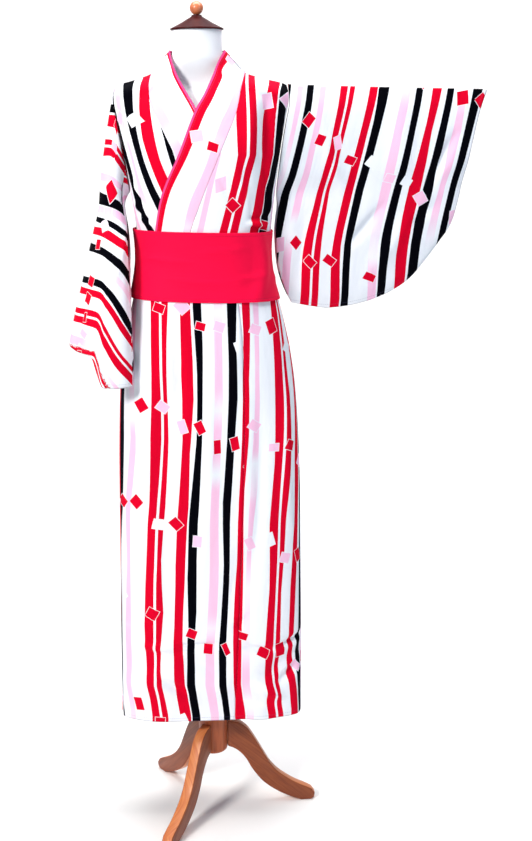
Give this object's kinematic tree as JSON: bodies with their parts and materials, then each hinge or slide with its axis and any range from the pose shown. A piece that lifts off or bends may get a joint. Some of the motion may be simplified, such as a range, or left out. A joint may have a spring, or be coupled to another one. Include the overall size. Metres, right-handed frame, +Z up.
{
  "type": "kimono on dress form stand",
  "caption": "Two-piece kimono with a lapped top, wrap skirt and wide wound sash, one sleeve hanging and one held out, on a limbless dress form with a tripod stand.",
  "frame": {"origin": "on the floor, below the middle of the whole object's box", "axes": "+Z up; the garment's front faces -Y; +X is the viewer's right, along which the one sleeve is held out"},
  "size_m": [0.9244, 0.4194, 1.815],
  "materials": {
    "form_cover": "smooth matt white cover",
    "cap_wood": "turned, dark stained and varnished",
    "ball_wood": "turned and varnished",
    "stand_wood": "sawn and turned, varnished",
    "printed_cotton": "white, printed with wavering upright stripes in red, black and pink",
    "sash_cloth": "plain crimson"
  },
  "bodies": {
    "root": {"form": "form_cover", "neck_cap": "cap_wood", "cap_ball": "ball_wood", "post": "stand_wood", "leg_1": "stand_wood", "leg_2": "stand_wood", "leg_3": "stand_wood", "top_front_over": "printed_cotton", "top_front_under": "printed_cotton", "top_back_right": "printed_cotton", "top_back_left": "printed_cotton", "collar_over": "printed_cotton", "collar_under": "printed_cotton", "collar_back": "printed_cotton", "sleeve_out_front": "printed_cotton", "sleeve_out_back": "printed_cotton", "sleeve_hanging_front": "printed_cotton", "sleeve_hanging_back": "printed_cotton", "skirt_back_right": "printed_cotton", "skirt_back_left": "printed_cotton", "skirt_front_under": "printed_cotton", "skirt_front_over": "printed_cotton", "skirt_edge_panel": "printed_cotton", "sash": "sash_cloth"}
  },
  "joints": []
}
